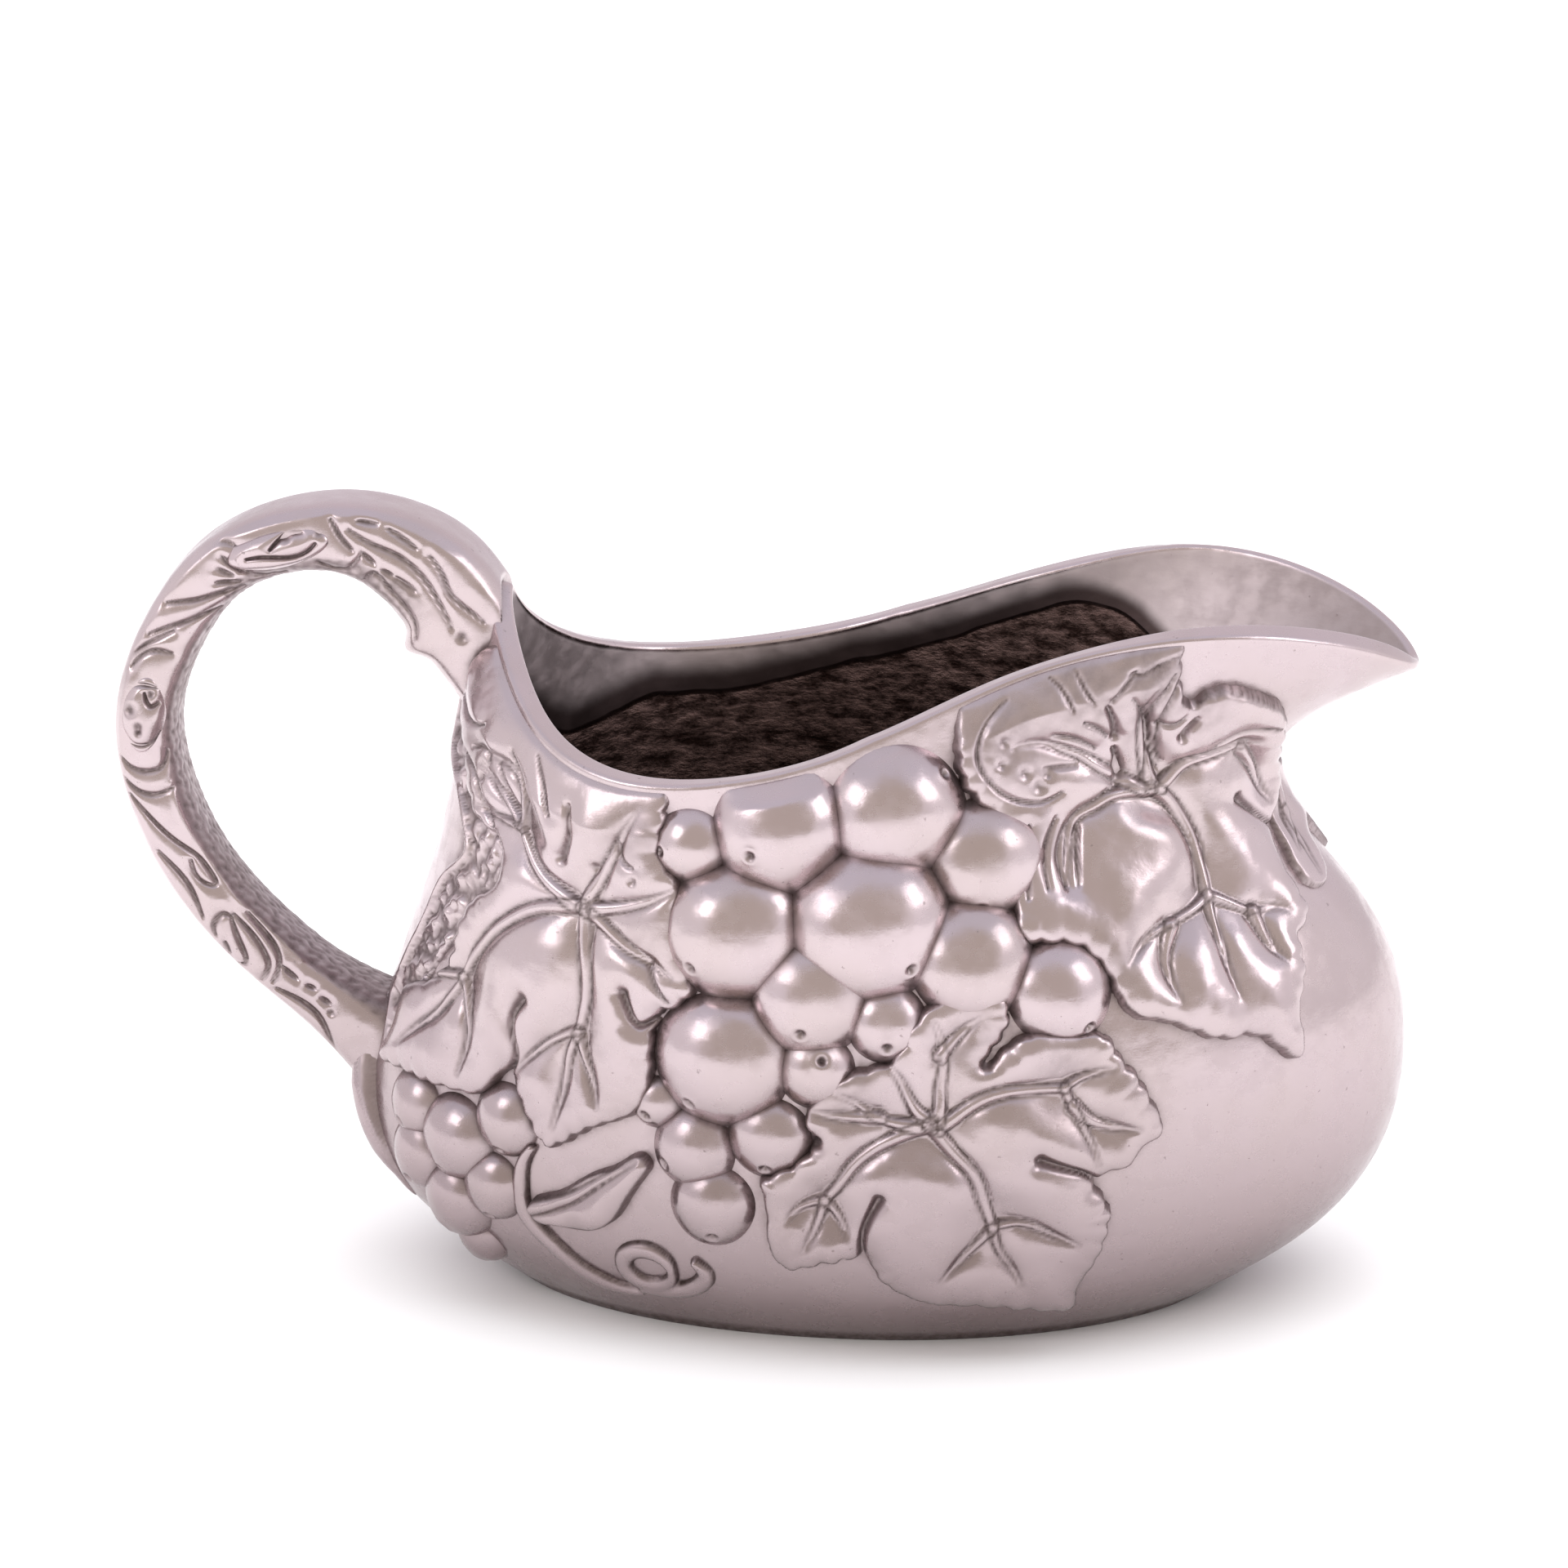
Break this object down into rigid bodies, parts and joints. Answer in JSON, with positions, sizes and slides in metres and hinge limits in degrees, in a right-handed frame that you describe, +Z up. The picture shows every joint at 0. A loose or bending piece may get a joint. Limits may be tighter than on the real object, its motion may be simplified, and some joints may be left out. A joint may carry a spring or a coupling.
{
  "type": "sauce boat",
  "caption": "Cast metal sauce boat with a flared pouring lip, a loop handle and a grape vine in relief on both sides.",
  "frame": {"origin": "on the resting face under the foot, in the symmetry plane, 61 mm ahead of the handle-side belly", "axes": "+X from the handle to the pouring lip, +Y to the back side, +Z up"},
  "size_m": [0.2029, 0.1026, 0.1225],
  "materials": {
    "body_metal": "hand polished, dark as-cast inside below the rim",
    "handle_metal": "polished with dark patina in the grooves",
    "relief_metal": "polished relief with dark patina in the recesses"
  },
  "bodies": {
    "root": {"base_leaf_back": "relief_metal", "base_leaf_front": "relief_metal", "cane_back": "relief_metal", "cane_front": "relief_metal", "handle": "handle_metal", "handle_bud_back": "handle_metal", "handle_bud_front": "handle_metal", "handle_knot_back": "handle_metal", "handle_knot_front": "handle_metal", "handle_leaf_back": "relief_metal", "handle_leaf_front": "relief_metal", "main_grapes_back": "relief_metal", "main_grapes_front": "relief_metal", "small_grapes_back": "relief_metal", "small_grapes_front": "relief_metal", "spout_leaf_back": "relief_metal", "spout_leaf_front": "relief_metal", "tendril_back": "relief_metal", "tendril_front": "relief_metal", "throat_leaf": "relief_metal", "vessel": "body_metal", "vine_root_back": "relief_metal", "vine_root_front": "relief_metal"}
  },
  "joints": []
}
